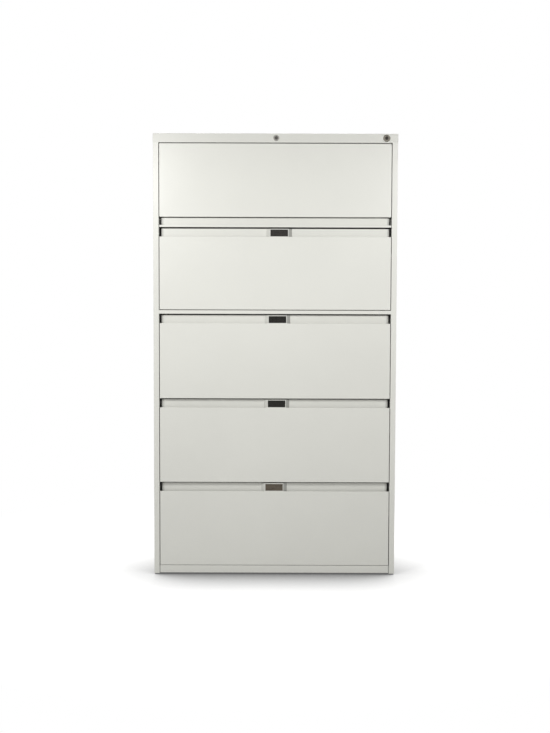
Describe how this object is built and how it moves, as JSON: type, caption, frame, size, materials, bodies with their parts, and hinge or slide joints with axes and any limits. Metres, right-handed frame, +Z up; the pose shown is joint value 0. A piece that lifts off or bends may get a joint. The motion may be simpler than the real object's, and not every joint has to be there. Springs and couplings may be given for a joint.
{
  "type": "lateral filing cabinet",
  "caption": "Tall off-white steel lateral filing cabinet with wide drawers on telescopic slides, a roll-out shelf behind a receding door, and key locks in its cap.",
  "frame": {"origin": "centre of the footprint, on the floor", "axes": "+Z up, +Y from the front to the back, +X to the right as seen from the front"},
  "size_m": [0.9144, 0.4622, 1.6615],
  "materials": {
    "case_paint": "satin off-white powder coat",
    "bare_steel": "plain galvanised sheet",
    "zinc_plate": "zinc plated",
    "ballast_black": "rough black primer",
    "lock_metal": "worn bright plate",
    "nylon": "natural nylon",
    "foot_plastic": "black moulded foot",
    "holder_plastic": "off-white moulding",
    "label_dark": "dark glossy card cover"
  },
  "bodies": {
    "case": {"left_side_panel": "case_paint", "right_side_panel": "case_paint", "back_panel": "case_paint", "back_screws": "zinc_plate", "top_cap": "case_paint", "cross_rail": "case_paint", "base_rail": "case_paint", "bottom_pan": "bare_steel", "slotted_uprights": "bare_steel", "case_slide_members": "zinc_plate", "door_tracks": "bare_steel", "counterweight": "ballast_black", "lock_housings": "lock_metal"},
    "front_left_glide_body": {"front_left_glide": "foot_plastic"},
    "front_right_glide_body": {"front_right_glide": "foot_plastic"},
    "rear_left_glide_body": {"rear_left_glide": "foot_plastic"},
    "rear_right_glide_body": {"rear_right_glide": "foot_plastic"},
    "drawer_2": {"drawer_2_face": "case_paint", "drawer_2_front_wall": "case_paint", "drawer_2_pan": "case_paint", "drawer_2_hang_rails": "zinc_plate", "drawer_2_inner_slides": "zinc_plate"},
    "drawer_2_slides": {"drawer_2_middle_slides": "zinc_plate"},
    "drawer_2_label": {"drawer_2_label_holder": "holder_plastic", "drawer_2_label_card": "label_dark"},
    "drawer_3": {"drawer_3_face": "case_paint", "drawer_3_front_wall": "case_paint", "drawer_3_pan": "case_paint", "drawer_3_hang_rails": "zinc_plate", "drawer_3_inner_slides": "zinc_plate"},
    "drawer_3_slides": {"drawer_3_middle_slides": "zinc_plate"},
    "drawer_3_label": {"drawer_3_label_holder": "holder_plastic", "drawer_3_label_card": "label_dark"},
    "drawer_4": {"drawer_4_face": "case_paint", "drawer_4_front_wall": "case_paint", "drawer_4_pan": "case_paint", "drawer_4_hang_rails": "zinc_plate", "drawer_4_inner_slides": "zinc_plate"},
    "drawer_4_slides": {"drawer_4_middle_slides": "zinc_plate"},
    "drawer_4_label": {"drawer_4_label_holder": "holder_plastic", "drawer_4_label_card": "label_dark"},
    "drawer_5": {"drawer_5_face": "case_paint", "drawer_5_front_wall": "case_paint", "drawer_5_pan": "case_paint", "drawer_5_hang_rails": "zinc_plate", "drawer_5_inner_slides": "zinc_plate"},
    "drawer_5_slides": {"drawer_5_middle_slides": "zinc_plate"},
    "drawer_5_label": {"drawer_5_label_holder": "holder_plastic", "drawer_5_label_card": "label_dark"},
    "shelf": {"shelf_front": "case_paint", "shelf_tray": "case_paint", "shelf_inner_slides": "zinc_plate"},
    "shelf_slides": {"shelf_middle_slides": "zinc_plate"},
    "carriage": {"door_carriage": "zinc_plate", "door_shoes": "nylon"},
    "door": {"door_panel": "case_paint", "door_hinge_brackets": "zinc_plate"},
    "door_lock": {"door_lock_core": "lock_metal"},
    "gang_lock": {"gang_lock_core": "lock_metal"},
    "lock_bar_body": {"lock_bar": "zinc_plate"}
  },
  "joints": [
    {"name": "front_left_glide_level", "type": "slide", "parent": "case", "child": "front_left_glide_body", "axis": [0, 0, -1], "range_m": [0, 0.012]},
    {"name": "front_right_glide_level", "type": "slide", "parent": "case", "child": "front_right_glide_body", "axis": [0, 0, -1], "range_m": [0, 0.012]},
    {"name": "rear_left_glide_level", "type": "slide", "parent": "case", "child": "rear_left_glide_body", "axis": [0, 0, -1], "range_m": [0, 0.012]},
    {"name": "rear_right_glide_level", "type": "slide", "parent": "case", "child": "rear_right_glide_body", "axis": [0, 0, -1], "range_m": [0, 0.012]},
    {"name": "drawer_2_pull", "type": "slide", "parent": "case", "child": "drawer_2", "axis": [0, -1, 0], "range_m": [0, 0.4]},
    {"name": "drawer_2_slide_follow", "type": "slide", "parent": "case", "child": "drawer_2_slides", "axis": [0, -1, 0], "range_m": [0, 0.2005]},
    {"name": "drawer_2_label_shift", "type": "slide", "parent": "drawer_2", "child": "drawer_2_label", "axis": [1, 0, 0], "range_m": [-0.387, 0.357]},
    {"name": "drawer_3_pull", "type": "slide", "parent": "case", "child": "drawer_3", "axis": [0, -1, 0], "range_m": [0, 0.4]},
    {"name": "drawer_3_slide_follow", "type": "slide", "parent": "case", "child": "drawer_3_slides", "axis": [0, -1, 0], "range_m": [0, 0.2005]},
    {"name": "drawer_3_label_shift", "type": "slide", "parent": "drawer_3", "child": "drawer_3_label", "axis": [1, 0, 0], "range_m": [-0.3815, 0.3625]},
    {"name": "drawer_4_pull", "type": "slide", "parent": "case", "child": "drawer_4", "axis": [0, -1, 0], "range_m": [0, 0.4]},
    {"name": "drawer_4_slide_follow", "type": "slide", "parent": "case", "child": "drawer_4_slides", "axis": [0, -1, 0], "range_m": [0, 0.2005]},
    {"name": "drawer_4_label_shift", "type": "slide", "parent": "drawer_4", "child": "drawer_4_label", "axis": [1, 0, 0], "range_m": [-0.379, 0.365]},
    {"name": "drawer_5_pull", "type": "slide", "parent": "case", "child": "drawer_5", "axis": [0, -1, 0], "range_m": [0, 0.4]},
    {"name": "drawer_5_slide_follow", "type": "slide", "parent": "case", "child": "drawer_5_slides", "axis": [0, -1, 0], "range_m": [0, 0.2005]},
    {"name": "drawer_5_label_shift", "type": "slide", "parent": "drawer_5", "child": "drawer_5_label", "axis": [1, 0, 0], "range_m": [-0.3705, 0.3735]},
    {"name": "shelf_pull", "type": "slide", "parent": "case", "child": "shelf", "axis": [0, -1, 0], "range_m": [0, 0.4]},
    {"name": "shelf_slide_follow", "type": "slide", "parent": "case", "child": "shelf_slides", "axis": [0, -1, 0], "range_m": [0, 0.2005]},
    {"name": "door_push", "type": "slide", "parent": "case", "child": "carriage", "axis": [0, 1, 0], "range_m": [0, 0.29]},
    {"name": "door_tilt", "type": "hinge", "parent": "carriage", "child": "door", "pos_m": [0, -0.2201, 1.6145], "axis": [-1, 0, 0], "range_deg": [0, 90.2]},
    {"name": "door_key_turn", "type": "hinge", "parent": "case", "child": "door_lock", "pos_m": [0.003, -0.2281, 1.6445], "axis": [0, 1, 0], "range_deg": [0, 90]},
    {"name": "gang_key_turn", "type": "hinge", "parent": "case", "child": "gang_lock", "pos_m": [0.414, -0.2281, 1.6445], "axis": [0, 1, 0], "range_deg": [0, 90.2]},
    {"name": "lock_bar_lift", "type": "slide", "parent": "case", "child": "lock_bar_body", "axis": [0, 0, 1], "range_m": [0, 0.01]}
  ],
  "couplings": [
    {"joint": "drawer_2_slide_follow", "follows": "drawer_2_pull", "ratio": 0.5},
    {"joint": "drawer_3_slide_follow", "follows": "drawer_3_pull", "ratio": 0.5},
    {"joint": "drawer_4_slide_follow", "follows": "drawer_4_pull", "ratio": 0.5},
    {"joint": "drawer_5_slide_follow", "follows": "drawer_5_pull", "ratio": 0.5},
    {"joint": "shelf_slide_follow", "follows": "shelf_pull", "ratio": 0.5},
    {"joint": "door_tilt", "follows": "door_push", "rad_per_m": 5.4165},
    {"joint": "gang_key_turn", "follows": "lock_bar_lift", "rad_per_m": 157.08}
  ]
}
